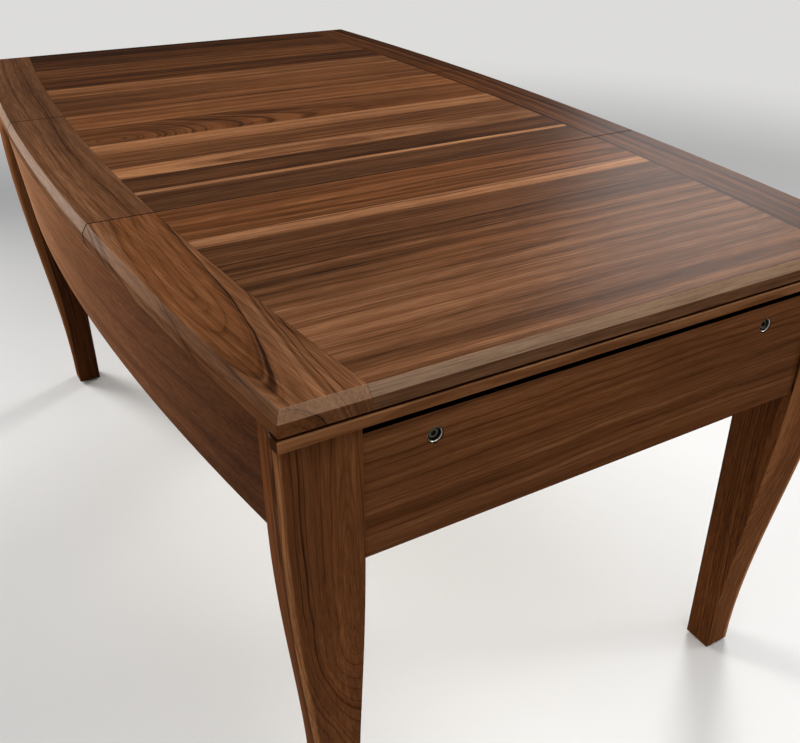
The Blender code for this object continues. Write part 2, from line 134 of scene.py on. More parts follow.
# The long edges of the top: how far out they are in the middle, their bow and the width of the rails
RAIL_EDGE = CAD_BOX[1][1]
RAIL_BOW = (RAIL_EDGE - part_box("leaf_near_rail_right")[1][1]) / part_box("leaf_near_rail_right")[0][0] ** 2
RAIL_WIDTH = 0.094

# The boards under the leaves
END_RIM = Cut(0.12, 0.70, -0.14, 0.08, bend=0.05)
SIDE_RIM = Cut(0.0, 0.70, -0.14, 0.08, bend=0.05)
LONG_APRON = Cut(0.09, 0.65, -0.10, 0.06, bend=0.0)
END_APRON = Cut(-0.04, 0.80, -0.16, 0.05, bend=0.08)
VAULT_WALL = Cut(-0.04, 0.70, 0.10, 0.08, bend=0.05)
# The legs on either side, with the heart line measured inwards from their outer corners
LEGS = {
    "left": Cut(-0.06, 0.95, 0.072, 0.003, crest=0.478, bend=3.60),
    "right": Cut(0.03, 0.95, -0.072, 0.003, crest=0.478, bend=3.60),
}

# Painted light and shade: tones of faces that are darker or paler than the rest of their board by where light
# falls; painted shade on what is seen through the slots, on the rim's top under the leaves and on its ends,
# and on the legs' faces, with the far legs' outer faces a little lighter where lit
PAINTED_SLOT_SHADE = -0.90
RIM_TOP_SHADE = -0.45
RIM_END_SHADE = -0.28
LEG_OUTER_LIGHT_AND_SHADE = {"near": -0.23, "far": 0.06}
LEG_INNER_SHADE = -0.22
LEG_BACK_SHADE = -0.30
# How strong the sapwood stripe on the legs is
LEG_SAPWOOD = 0.32
# How much paler chamfers along and across the grain are, partly the cut wood's own colour and partly a
# painted highlight, weaker on the near rails where less light falls; and how much darker upright ends are
PANEL_CHAMFER = 1.05
RAIL_CHAMFER = {"far": 0.62, "middle": 0.62, "near": 0.20}
END_CHAMFER = 0.62
UPRIGHT_END = -0.40
# How pale an upright edge is, as a share of its chamfer: a painted highlight
UPRIGHT_SHARE = 0.12
# How pale the eased arrises are, a painted highlight, stronger on the rim's upper edges, and painted shadow
# in the seams between the leaves
EDGE_HIGHLIGHT = 1.0
RIM_EDGE_HIGHLIGHT = 3.5
SEAM_SHADOW = -4.5

# The number of the first board of each kind, which sets where its figure starts
FIRST_BOARD = {"plank": 1.37, "rail": 40.61, "rim": 60.23, "long_apron": 70.41, "end_apron": 75.83,
               "leg": 84.61, "wall": 90.70}
# What is kept on the faces of a board: its number, its cut, and what sets a face apart
MARKS = ("board", "tone", "warm", "heart", "deep", "crest", "bend",
         "open", "vein", "bow", "sap", "arris", "pale", "end")
# Layers of the figure: scale along the grain and across it, detail and roughness
LAYERS = {
    "sway": (1.3, 1.0, 1.0, 0.40),
    "dip": (1.8, 0.5, 1.0, 0.40),
    "ripple": (6.0, 16.0, 2.0, 0.50),
    "streaks": (1.2, 40.0, 2.0, 0.55),
    "lines": (1.8, 190.0, 2.0, 0.60),
    "flecks": (16.0, 300.0, 2.0, 0.65),
    "fibres": (9.0, 620.0, 2.0, 0.60),
    "clouds": (2.0, 12.0, 2.0, 0.50),
    "pores": (45.0, 1500.0, 1.0, 0.50),
}
# Kinds of growth ring: scale outwards from the heart line, shift from board to board, detail and roughness
RINGS = {"bands": (52.0, 7.3, 1.0, 0.50), "late": (230.0, 3.1, 2.0, 0.55), "gum": (88.0, 5.7, 1.0, 0.50)}

# Lamps: where each stands, the point it faces, its width in metres and its spread in degrees
LAMPS = {
    "top": ((1.0, 0.3, 2.3), (0.2, 0.0, 0.75), 1.6, 180),
    "back": ((-2.3, 3.6, 2.3), (0.5, 0.3, 0.75), 1.6, 50),
    "left": ((-2.6, -1.5, 0.95), (-0.65, -0.45, 0.68), 1.2, 50),
    "right": ((2.4, 3.6, 2.5), (0.8, 0.42, 0.72), 1.0, 25),
}

# Points nearer than this are taken as one
HAIR = 0.001
# The seams between the leaves are nearer to the middle than this, and the table's ends aren't
SEAM_REACH = 0.30
# Edges sharper than this are eased, and faces that meet at less than the second angle are shaded as one
SHARP = math.radians(25)
SMOOTH = math.radians(35)


def colour_setting(name, description, value):
    """A colour."""
    return bpy.props.FloatVectorProperty(
        name=name, description=description, subtype="COLOR", size=3, default=value)


def share_setting(name, description, value):
    """A number from 0 to 1."""
    return bpy.props.FloatProperty(name=name, description=description, default=value, min=0, max=1)


def length_setting(name, description, value):
    """A length in metres."""
    return bpy.props.FloatProperty(name=name, description=description, default=value, unit="LENGTH")


def light_setting(name, description, value):
    """The strength of a light."""
    return bpy.props.FloatProperty(name=name, description=description, default=value, min=0)


def figure_setting(name, boards, value):
    """How strong each part of the figure is on some of the boards."""
    parts = "Bands, fine lines, gum lines, fibres, waves and closeness"
    return bpy.props.FloatVectorProperty(
        name=name, description=f"{parts} on {boards}", size=6, default=value)


class WalnutLooks(bpy.types.PropertyGroup):
    """Colours, sheen and figure of the oiled walnut."""

    streak: colour_setting("Streak", "The darkest growth lines", (0.017, 0.0060, 0.0022))
    dark: colour_setting("Dark", "Dark heartwood", (0.056, 0.0200, 0.0064))
    middle: colour_setting("Middle", "Usual heartwood", (0.116, 0.0455, 0.0165))
    light: colour_setting("Light", "Light heartwood", (0.220, 0.0990, 0.0425))
    sapwood: colour_setting("Sapwood", "Pale wood near the bark", (0.410, 0.2080, 0.0920))
    # Chamfers are blended towards this cut colour too, partly as a painted highlight
    cut: colour_setting("Cut", "Wood cut across the grain", (0.300, 0.2050, 0.1350))
    # Painted shade: what is seen through the slots is painted this black, where only shade falls
    stain: colour_setting("Stain", "Black stain on what shows through the slots", (0.002, 0.0015, 0.0010))
    cool: colour_setting("Cool tint", "Tint of greyer boards", (0.88, 0.98, 1.18))
    warm: colour_setting("Warm tint", "Tint of redder boards", (1.12, 0.97, 0.80))
    roughness: share_setting("Roughness", "Roughness of the oiled surface", 0.42)
    top_sheen: share_setting("Top sheen", "Weight of the oil coat on the leaves", 0.045)
    frame_sheen: share_setting("Frame sheen", "Weight of the oil coat on the frame", 0.03)
    side_sheen: share_setting("Side sheen", "Weight of the oil coat on the long aprons", 0.075)
    leg_sheen: share_setting("Leg sheen", "Weight of the oil coat on the legs", 0.03)
    top_figure: figure_setting("Top figure", "the leaves", (0.48, 0.12, 0.15, 1.20, 0.014, 1.0))
    frame_figure: figure_setting("Frame figure", "the frame", (0.30, 0.12, 0.12, 0.80, 0.014, 1.0))
    side_figure: figure_setting("Side figure", "the long aprons", (0.20, 0.08, 0.05, 0.90, 0.008, 1.4))
    leg_figure: figure_setting("Leg figure", "the legs", (0.16, 0.17, 0.06, 0.85, 0.015, 1.8))


class EasedEdges(bpy.types.PropertyGroup):
    """How far each kind of edge is eased."""

    leaf: length_setting("Leaf", "Arrises of the leaves and other thin boards", 0.0009)
    seam: length_setting("Seam", "Arrises where leaves meet", 0.0007)
    rim: length_setting("Rim", "Upper edges of the rim", 0.0022)
    apron: length_setting("Apron", "Edges of the aprons", 0.0012)
    leg_corner: length_setting("Leg corner", "Outer corner of each leg", 0.0022)
    socket: length_setting("Socket", "Mouths of the dock sockets", 0.0003)


class PlayMatLooks(bpy.types.PropertyGroup):
    """The cloth mat in the vault."""

    cloth: colour_setting("Cloth", "Main thread colour", (0.030, 0.045, 0.058))
    thread: length_setting("Thread", "Pitch of the weave", 0.0011)
    corner: length_setting("Corner", "Corner radius", 0.0060)


class MetalLooks(bpy.types.PropertyGroup):
    """The dock sockets and their screws."""

    steel: colour_setting("Steel", "Colour of the sockets", (0.34, 0.325, 0.29))
    steel_roughness: share_setting("Steel roughness", "Roughness of the sockets", 0.30)
    screw: colour_setting("Screw", "Colour of the blackened screws", (0.070, 0.065, 0.048))
    screw_roughness: share_setting("Screw roughness", "Roughness of the screws", 0.42)


class StageLooks(bpy.types.PropertyGroup):
    """Floor and light."""

    floor: colour_setting("Floor", "Colour of the floor", (0.72, 0.715, 0.70))
    sky_tint: colour_setting("Sky tint", "Colour of the even light", (0.95, 0.97, 1.0))
    sky: light_setting("Sky", "Strength of the even light", 0.40)
    top: light_setting("Top lamp", "Watts of the lamp overhead", 26.0)
    back: light_setting("Back lamp", "Watts of the lamp behind", 20.5)
    left: light_setting("Left lamp", "Watts of the lamp on the left", 20.0)
    right: light_setting("Right lamp", "Watts of the lamp on the right", 1.0)


class Wire:
    """One value in a finish: an output socket that takes part in sums."""

    def __init__(self, finish, socket):
        self.finish = finish
        self.socket = socket

    def __add__(self, other):
        return self.finish.maths("ADD", self, other)

    def __radd__(self, other):
        return self.finish.maths("ADD", other, self)

    def __sub__(self, other):
        return self.finish.maths("SUBTRACT", self, other)

    def __rsub__(self, other):
        return self.finish.maths("SUBTRACT", other, self)

    def __mul__(self, other):
        return self.finish.maths("MULTIPLY", self, other)

    def __rmul__(self, other):
        return self.finish.maths("MULTIPLY", other, self)

    def __truediv__(self, other):
        return self.finish.maths("DIVIDE", self, other)

    def __pow__(self, other):
        return self.finish.maths("POWER", self, other)

    def __abs__(self):
        return self.finish.maths("ABSOLUTE", self)


class Finish:
    """A material, or a world, under construction."""

    def __init__(self, name, library="materials"):
        self.material = getattr(bpy.data, library).new(name)
        self.material.use_nodes = True
        self.tree = self.material.node_tree
        self.shader = self.tree.nodes.get("Principled BSDF")

    def node(self, kind, settings=None, inputs=None, output=0):
        """Add a node: its settings first, then the values or links of its sockets."""
        made = self.tree.nodes.new(kind)
        for key, value in (settings or {}).items():
            if key == "stops":
                self.set_stops(made.color_ramp, value)
            else:
                setattr(made, key, value)
        for key, value in (inputs or {}).items():
            self.feed(made.inputs[key], value)
        return Wire(self, made.outputs[output])

    def set_stops(self, ramp, stops):
        """Give a colour ramp its stops, each a position and a colour."""
        while len(ramp.elements) < len(stops):
            ramp.elements.new(0.5)
        for element, (position, colour) in zip(ramp.elements, stops):
            element.position = position
            element.color = (*colour, 1.0)

    def feed(self, socket, value):
        """Link a wire to a socket, or set a number or a colour there."""
        if isinstance(value, Wire):
            self.tree.links.new(value.socket, socket)
        elif socket.type == "RGBA":
            socket.default_value = (*value, 1.0)
        else:
            socket.default_value = value

    def set(self, **sockets):
        """Feed the shader, its sockets named with underscores for spaces."""
        for key, value in sockets.items():
            self.feed(self.shader.inputs[key.replace("_", " ")], value)

    def maths(self, operation, *values):
        """One step of a sum."""
        return self.node("ShaderNodeMath", {"operation": operation}, dict(enumerate(values)))

    def place(self):
        """The three Object coordinates."""
        coordinates = self.node("ShaderNodeTexCoord", output="Object")
        return [self.node("ShaderNodeSeparateXYZ", inputs={0: coordinates}, output=i) for i in range(3)]

    def mark(self, name):
        """A number kept on the piece's own faces or points."""
        return self.node("ShaderNodeAttribute", {"attribute_name": name}, output="Fac")

    def noise(self, place, scales, detail=2.0, roughness=0.5):
        """Noise in space, with a scale along each axis."""
        scaled = {i: axis * scale for i, (axis, scale) in enumerate(zip(place, scales))}
        vector = self.node("ShaderNodeCombineXYZ", inputs=scaled)
        inputs = {"Vector": vector, "Scale": 1.0, "Detail": detail, "Roughness": roughness}
        return self.node("ShaderNodeTexNoise", {"noise_dimensions": "3D"}, inputs, "Fac")

    def line_noise(self, value, detail, roughness):
        """Noise along a line."""
        inputs = {"W": value, "Scale": 1.0, "Detail": detail, "Roughness": roughness}
        return self.node("ShaderNodeTexNoise", {"noise_dimensions": "1D"}, inputs, "Fac")

    def between(self, value, low, high):
        """0 below low, 1 above high, a smooth step between."""
        inputs = {"Value": value, "From Min": low, "From Max": high}
        return self.node("ShaderNodeMapRange", {"interpolation_type": "SMOOTHSTEP"}, inputs)

    def ramp(self, value, *stops):
        """A colour that a value picks from stops."""
        return self.node("ShaderNodeValToRGB", {"stops": stops}, {0: value})

    def blend(self, factor, first, second, mode="MIX"):
        """Mix two colours."""
        inputs = {0: factor, 6: first, 7: second}
        return self.node("ShaderNodeMix", {"data_type": "RGBA", "blend_type": mode}, inputs, 2)

    def bump(self, height, strength, distance):
        """Tilt the surface as a height does."""
        inputs = {"Height": height, "Strength": strength, "Distance": distance}
        return self.node("ShaderNodeBump", inputs=inputs)


def shaded(colour, share):
    """A darker or paler colour of the same hue."""
    return tuple(share * part for part in colour)


def walnut(name, along, across, depth, sheen, figure, looks):
    """Oiled walnut cut as a solid: growth rings about a heart line, then streaks, fibres and pores."""
    finish = Finish(name)
    axes = dict(zip("XYZ", finish.place()))
    (board, tone, warm, heart, deep, crest, bend,
     opening, vein, bow, sap, arris, pale, end) = map(finish.mark, MARKS)
    band_weight, late_weight, gum_weight, fibre_weight, waves, closeness = figure
    dice = finish.node("ShaderNodeTexWhiteNoise", {"noise_dimensions": "1D"}, {"W": board}, "Color")
    shift = [finish.node("ShaderNodeSeparateColor", inputs={0: dice}, output=i) for i in range(3)]
    aside = axes[across] - finish.mark("swell") + axes[along] * axes[along] * bow
    place = (axes[along] + shift[0] * 31.0, aside + shift[1] * 17.0, axes[depth] + shift[2] * 13.0)

    def grain(layer):
        long_scale, cross_scale, detail, roughness = LAYERS[layer]
        return finish.noise(place, (long_scale, cross_scale, cross_scale), detail, roughness)

    # The heart line, which sways, and dives from the face on both sides of its crest or on one
    past_crest = axes[along] - crest
    beyond = past_crest * past_crest
    bent = bend * bend
    burl = finish.between(bent, 25.0, 64.0)
    veined = finish.between(vein, 0.001, 0.002)
    restless = 0.020 - finish.between(bent, 0.16, 0.64) * 0.015
    open_end = opening * opening * finish.between(past_crest * opening, -0.05, 0.05)
    dive = beyond * bend / (beyond * (25.0 + burl * 35.0) + 1.0) * (1.0 - open_end * 0.85)
    sway = (grain("sway") - 0.5) * restless
    from_heart = aside - heart + veined * past_crest * 0.10 + sway + (grain("ripple") - 0.5) * waves
    below = axes[depth] - deep + dive + (grain("dip") - 0.5) * restless
    radius = (from_heart * from_heart + below * below) ** 0.5

    def ring(kind, crowded=1.0):
        scale, step, detail, roughness = RINGS[kind]
        return finish.line_noise(radius * (scale * crowded) + board * step, detail, roughness)

    bands = ring("bands") - 0.5
    late = finish.between(ring("late", closeness), 0.46, 0.78) * late_weight
    gum = finish.between(ring("gum"), 0.68, 0.76)
    rings = bands * band_weight - late * (1.0 + burl * 1.2 + veined * 1.2) - gum * gum_weight

    # A strong vein, darker on one side of the heart line, and a calmer lobe inside it
    one_side = finish.between(from_heart, -0.012, 0.012)
    off_vein = finish.between(abs(radius - vein), 0.0004, 0.0016)
    vein_line = veined * (1.0 - off_vein) * (0.25 + one_side * 0.75)
    in_lobe = veined * (1.0 - finish.between(radius - vein, -0.004, 0.0))
    rings = rings * (1.0 - in_lobe * 0.45) - in_lobe * 0.06 - vein_line * 0.45

    # Streaks and clouds along the board, fibres and pores in its surface
    clouds = grain("clouds")
    fibres = grain("fibres")
    pores = finish.between(grain("pores"), 0.58, 0.74)
    lines = finish.between(grain("lines"), 0.50, 0.66)
    runs = (grain("streaks") - 0.5) * 0.24 - lines * 0.05 + (clouds - 0.5) * 0.30
    texture = (fibres - 0.5) * 0.34 + (grain("flecks") - 0.5) * 0.34

    # Sapwood fades out a centimetre from the board's edge
    sapwood = 1.0 - finish.between(abs(aside), 0.0055, 0.0095)
    marking = 0.06 + (rings + (runs + texture) * fibre_weight) * (1.0 - end * 0.35)
    # Painted highlight and shade: arris lightens eased edges and darkens the seams, pale lightens chamfers
    # and upright edges
    shade = 0.45 + tone + marking + arris * 0.06 + pale * 0.20 + sap * sapwood
    colour = finish.ramp(shade, (0.06, looks.streak), (0.26, looks.dark), (0.48, looks.middle),
                         (0.72, looks.light), (0.95, looks.sapwood))
    hue = finish.blend(warm + in_lobe * 0.40 + (clouds - 0.5) * 0.8, looks.cool, looks.warm)
    colour = finish.blend(1.0, colour, hue, "MULTIPLY")
    # Chamfers and cut ends blend towards the cut colour: partly the wood's own colour, partly a painted
    # highlight
    colour = finish.blend(pale * (0.52 + texture * 1.5), colour, looks.cut)
    colour = finish.blend(pores * 0.40, colour, looks.streak)
    # Painted shade: faces toned below -0.6 turn black, for what is seen through the slots
    colour = finish.blend(finish.between(tone, -0.8, -0.6), looks.stain, colour)
    roughness = looks.roughness + (fibres - 0.5) * 0.16 + pores * 0.18 - arris * 0.06
    coat = sheen * (1.0 - finish.between(pale, 0.0, 0.12) * 0.6)
    finish.set(Base_Color=colour, Roughness=roughness, Specular_IOR_Level=0.0, Coat_Weight=coat,
               Coat_Roughness=0.36, Normal=finish.bump(fibres * 0.5 - pores, 0.22, 0.0003))
    return finish.material


def birch(name):
    """Sanded birch ply: pale face, thin darker layers across its thickness."""
    finish = Finish(name)
    place = finish.place()
    fibres = finish.noise(place, (6.0, 260.0, 260.0), 3.0, 0.6)
    clouds = finish.noise(place, (2.0, 9.0, 9.0))
    layers = finish.between(finish.maths("FRACT", place[2] * 420.0), 0.44, 0.56)
    shade = 0.5 + (fibres - 0.5) * 0.5 + (clouds - 0.5) * 0.4
    colour = finish.ramp(shade, (0.2, (0.42, 0.28, 0.155)), (0.5, (0.56, 0.40, 0.235)),
                         (0.8, (0.66, 0.50, 0.32)))
    normal = finish.node("ShaderNodeNewGeometry", output="Normal")
    upwards = finish.node("ShaderNodeSeparateXYZ", inputs={0: normal}, output=2)
    edge = finish.between(1.0 - upwards * upwards, 0.6, 0.8)
    colour = finish.blend(layers * edge * 0.6, colour, (0.20, 0.11, 0.055))
    finish.set(Base_Color=colour, Roughness=0.56 + (fibres - 0.5) * 0.2,
               Normal=finish.bump(fibres, 0.15, 0.0003))
    return finish.material


def play_cloth(name, looks):
    """Close plain weave with a slight slub."""
    finish = Finish(name)
    place = finish.place()
    turn = 2 * math.pi / looks.thread
    warp, weft = (finish.maths("SINE", axis * turn) for axis in place[:2])
    weave = warp * weft
    slub = finish.noise(place, (40.0, 700.0, 40.0))
    fuzz = finish.noise(place, (1500.0, 1500.0, 1500.0))
    clouds = finish.noise(place, (5.0, 5.0, 5.0))
    shade = 0.5 + weave * 0.22 + (slub - 0.5) * 0.5 + (fuzz - 0.5) * 0.4 + (clouds - 0.5) * 0.3
    colour = finish.ramp(shade, (0.1, shaded(looks.cloth, 0.45)), (0.5, looks.cloth),
                         (0.95, shaded(looks.cloth, 1.9)))
    finish.set(Base_Color=colour, Roughness=0.90 + (fuzz - 0.5) * 0.1, Sheen_Weight=0.25,
               Normal=finish.bump(weave * 0.5 + fuzz * 0.4, 0.5, 0.0004))
    return finish.material


def turned_metal(name, colour, roughness):
    """Turned metal with fine tool rings about the socket's own axis."""
    finish = Finish(name)
    place = finish.place()
    low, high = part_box("dock_socket_near_right")
    off_y = abs(place[1]) - (low[1] + high[1]) / 2
    off_z = place[2] - (low[2] + high[2]) / 2
    radius = (off_y * off_y + off_z * off_z) ** 0.5
    rings = finish.line_noise(radius * 6000.0 + place[0] * 2500.0, 2.0, 0.6)
    smudge = finish.noise(place, (160.0, 160.0, 160.0), 3.0)
    shade = 0.5 + (rings - 0.5) * 0.35 + (smudge - 0.5) * 0.4
    tint = finish.ramp(shade, (0.2, shaded(colour, 0.62)), (0.55, colour), (0.9, shaded(colour, 1.25)))
    worn = roughness + (smudge - 0.5) * 0.18 + (rings - 0.5) * 0.10
    finish.set(Base_Color=tint, Metallic=1.0, Roughness=worn, Normal=finish.bump(rings, 0.10, 0.0001))
    return finish.material


def moulded_nylon(name):
    """Dark nylon with a fine mould texture and scuffs."""
    finish = Finish(name)
    place = finish.place()
    pits = finish.noise(place, (2200.0, 2200.0, 2200.0))
    scuffs = finish.noise(place, (120.0, 300.0, 200.0), 4.0, 0.65)
    shade = 0.4 + (scuffs - 0.5) * 0.9 + (pits - 0.5) * 0.2
    colour = finish.ramp(shade, (0.2, (0.020, 0.018, 0.016)), (0.6, (0.048, 0.043, 0.038)),
                         (0.95, (0.120, 0.110, 0.100)))
    finish.set(Base_Color=colour, Roughness=0.52 + (scuffs - 0.5) * 0.25,
               Normal=finish.bump(pits, 0.2, 0.0002))
    return finish.material


def select_only(obj):
    """Leave edit mode, and select one object alone."""
    if bpy.context.object and bpy.context.object.mode != "OBJECT":
        bpy.ops.object.mode_set(mode="OBJECT")
    bpy.ops.object.select_all(action="DESELECT")
    obj.select_set(True)
    bpy.context.view_layer.objects.active = obj


def board_from(node, name):
    """A new piece with the shape of a packed board, its loose triangles merged into whole faces."""
    obj = bpy.data.objects.new(name, NODES[node].data.copy())
    bpy.context.scene.collection.objects.link(obj)
    obj.data.materials.clear()
    select_only(obj)
    bpy.ops.object.mode_set(mode="EDIT")
    bpy.ops.mesh.select_all(action="SELECT")
    bpy.ops.mesh.remove_doubles(threshold=0.00001)
    bpy.ops.mesh.dissolve_limited(angle_limit=math.radians(0.1))
    bpy.ops.mesh.select_all(action="DESELECT")
    bpy.ops.object.mode_set(mode="OBJECT")
    for mark in MARKS:
        obj.data.attributes.new(mark, "FLOAT", "FACE")
    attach(obj, BODY_OF[node])
    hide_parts(node)
    return obj


def round_edges(obj, width, rule, segments):
    """Bevel the sharp edges that a rule picks, and leave the new faces selected."""
    select_only(obj)
    bpy.ops.object.mode_set(mode="EDIT")
    bpy.ops.mesh.select_mode(type="EDGE")
    bpy.ops.mesh.select_all(action="DESELECT")
    work = bmesh.from_edit_mesh(obj.data)
    for edge in work.edges:
        if edge.calc_face_angle(0) > SHARP and rule(edge):
            edge.select = True
    work.select_flush_mode()
    bmesh.update_edit_mesh(obj.data)
    bpy.ops.mesh.bevel(offset=width, segments=segments, affect="EDGES", clamp_overlap=True)
    bpy.ops.object.mode_set(mode="OBJECT")


def ease(obj, width, rule, segments=2, edge_light_and_shade=EDGE_HIGHLIGHT):
    """Round the sharp edges that a rule picks, and mark the new faces as arrises, with a painted highlight
    where the mark is above zero and painted shadow where it is below.
    """
    round_edges(obj, width, rule, segments)
    mark_faces(obj, lambda face: face.select, arris=edge_light_and_shade)


def cut_across(obj, xs):
    """Part the faces of a panel along the joints between its planks."""
    select_only(obj)
    bpy.ops.object.mode_set(mode="EDIT")
    for x in xs:
        bpy.ops.mesh.select_all(action="SELECT")
        bpy.ops.mesh.bisect(plane_co=(x, 0, 0), plane_no=(1, 0, 0), use_fill=False)
    bpy.ops.mesh.select_all(action="DESELECT")
    bpy.ops.object.mode_set(mode="OBJECT")


def sawn(number, cut, across, face, inwards):
    """The marks of a board, its cut measured from a line along its show face."""
    return {**cut._asdict(), "board": number, "heart": across + cut.heart, "deep": face + inwards * cut.deep,
            "bend": -inwards * cut.bend}


def painted_falloff(marks, along):
    """The marks of a board with painted light and shade: darker and warmer towards the near end as painted
    shade, paler and greyer towards the far end as painted light and sheen.
    """
    return {**marks, "tone": marks["tone"] - 0.42 * along, "warm": marks["warm"] + 0.90 * along}


def grain_marks(obj, rule):
    """Keep on each face which board it belongs to and how that board was cut."""
    for face in obj.data.polygons:
        for mark, value in rule(face.center).items():
            obj.data.attributes[mark].data[face.index].value = value


def mark_faces(obj, rule, **values):
    """Set marks on the faces that a rule picks."""
    for face in obj.data.polygons:
        if rule(face):
            for mark, value in values.items():
                obj.data.attributes[mark].data[face.index].value = value


def pale_chamfers(obj, grain_axis, chamfered):
    """Chamfers, and ends where the boards are cut across, differ from the faces beside them: partly the cut
    wood's own colour, partly a painted highlight on chamfers and upright edges.
    """
    arrises = obj.data.attributes["arris"].data

    def edge_face(face):
        return arrises[face.index].value >= 0 and face.normal.z < 0.9

    def chamfer(face):
        return edge_face(face) and face.normal.z > 0.3

    def end(face):
        return abs(face.normal["XYZ".index(grain_axis)]) > 0.5

    mark_faces(obj, edge_face, pale=UPRIGHT_SHARE * chamfered)
    mark_faces(obj, chamfer, pale=chamfered)
    mark_faces(obj, end, pale=UPRIGHT_END, end=1.0)
    mark_faces(obj, lambda face: end(face) and chamfer(face), pale=END_CHAMFER)


def smooth(obj, material):
    """Shade a finished piece and give it its finish."""
    select_only(obj)
    bpy.ops.object.shade_smooth_by_angle(angle=SMOOTH)
    weigh = obj.modifiers.new("even_faces", "WEIGHTED_NORMAL")
    weigh.keep_sharp = True
    bpy.ops.object.modifier_apply(modifier=weigh.name)
    obj.data.materials.append(material)


def finish_node(node, material):
    """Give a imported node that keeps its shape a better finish."""
    for slot in NODES[node].material_slots:
        slot.material = material


def material_named(name, maker, *values):
    """Make a finish once and use it again."""
    return bpy.data.materials.get(name) or maker(name, *values)


def walnut_along(along, across, depth, use="frame"):
    """Walnut with its grain along one axis, with the sheen and figure of one use."""
    looks = bpy.context.scene.table_walnut
    sheen = getattr(looks, f"{use}_sheen")
    figure = getattr(looks, f"{use}_figure")
    name = f"walnut_{use}_{along}{across}{depth}".lower()
    return material_named(name, walnut, along, across, depth, sheen, figure, looks)


def climb(edge):
    """How far an edge climbs."""
    return abs(edge.verts[0].co.z - edge.verts[1].co.z)


def faces_towards(edge, direction):
    """Whether a face beside an edge looks in a direction."""
    return any(face.normal.dot(direction) > 0.7 for face in edge.link_faces)


def joint_edge(edge):
    """An edge of the glue joint between a panel and a rail."""
    return any(abs(face.normal.y) > 0.7 for face in edge.link_faces)


def seam_edge(edge):
    """An edge where two leaves meet."""
    near_middle = all(abs(vertex.co.x) < SEAM_REACH for vertex in edge.verts)
    return near_middle and any(abs(face.normal.x) > 0.9 for face in edge.link_faces)


class TABLE_OT_leaf_panels(bpy.types.Operator):
    """Cut each leaf's panel into its planks and ease its free edges"""

    bl_idname = "table.leaf_panels"
    bl_label = "Leaf Panels"

    def execute(self, context):
        edges = context.scene.table_edges
        for leaf in LEAVES:
            panel = board_from(f"leaf_{leaf}_panel", f"planks_{leaf}")
            low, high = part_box(f"leaf_{leaf}_panel")
            ease(panel, edges.leaf, lambda edge: not joint_edge(edge) and not seam_edge(edge))
            ease(panel, edges.seam, lambda edge: not joint_edge(edge) and seam_edge(edge), 1, SEAM_SHADOW)
            cut_across(panel, [start for start, _ in PLANKS if low[0] + HAIR < start < high[0] - HAIR])
            grain_marks(panel, self.plank_at)
            pale_chamfers(panel, "Y", PANEL_CHAMFER)
            smooth(panel, walnut_along("Y", "X", "Z", "top"))
        return {"FINISHED"}

    def plank_at(self, centre):
        """The marks of the plank that a face belongs to."""
        index = max(i for i, (start, _) in enumerate(PLANKS) if i == 0 or start <= centre.x + HAIR)
        start, cut = PLANKS[index]
        return sawn(FIRST_BOARD["plank"] + index, cut, start + HALF_PLANK, CAD_BOX[1][2], -1)


class TABLE_OT_leaf_rails(bpy.types.Operator):
    """Ease the chamfered long rails of the leaves"""

    bl_idname = "table.leaf_rails"
    bl_label = "Leaf Rails"

    def execute(self, context):
        edges = context.scene.table_edges
        for (leaf, side_name), cut in RAILS.items():
            side = SIDES[side_name]
            rail = board_from(f"leaf_{leaf}_rail_{side_name}", f"rail_{leaf}_{side_name}")
            inwards = Vector((0, -side, 0))
            ease(rail, edges.leaf, lambda edge: not faces_towards(edge, inwards) and not seam_edge(edge))
            ease(rail, edges.seam, lambda edge: not faces_towards(edge, inwards) and seam_edge(edge), 1,
                 SEAM_SHADOW)
            number = FIRST_BOARD["rail"] + RAIL_CUTS.index(cut)
            marks = sawn(number, cut, side * (RAIL_EDGE - RAIL_WIDTH / 2), CAD_BOX[1][2], -1)
            marks["bow"] = side * RAIL_BOW
            if cut is LOBED_RAIL:
                marks["vein"] = VEIN
                marks["open"] = -1.0
            grain_marks(rail, lambda centre: marks)
            pale_chamfers(rail, "X", RAIL_CHAMFER[leaf])
            smooth(rail, walnut_along("X", "Y", "Z", "top"))
        return {"FINISHED"}


class TABLE_OT_rim(bpy.types.Operator):
    """Round the rim boards round the vault"""

    bl_idname = "table.rim"
    bl_label = "Rim"

    def execute(self, context):
        edges = context.scene.table_edges
        for i, place in enumerate((*ENDS, *SIDES)):
            rim = board_from(f"rim_{place}", f"rim_board_{place}")
            low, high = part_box(f"rim_{place}")
            middle = (low[2] + high[2]) / 2
            # Painted highlight along the rim's upper arrises
            ease(rim, edges.rim, lambda edge: all(vertex.co.z > middle for vertex in edge.verts), 3,
                 RIM_EDGE_HIGHLIGHT)
            ease(rim, edges.leaf, lambda edge: all(vertex.co.z < middle for vertex in edge.verts))
            number = FIRST_BOARD["rim"] + i
            if place in ENDS:
                marks = sawn(number, END_RIM, low[0], high[2], -1)
                material = walnut_along("Y", "X", "Z")
            else:
                marks = sawn(number, SIDE_RIM, low[1], high[2], -1)
                material = walnut_along("X", "Y", "Z")
            grain_marks(rim, lambda centre: marks)
            # Painted shade: the rim's flat top, under the leaves, and its ends are darker, the ends without a
            # painted highlight on their arrises
            mark_faces(rim, lambda face: face.normal.z > 0.95, tone=RIM_TOP_SHADE)
            if place in ENDS:
                mark_faces(rim, lambda face: abs(face.normal.y) > 0.4, tone=RIM_END_SHADE, arris=0.0)
            smooth(rim, material)
        return {"FINISHED"}


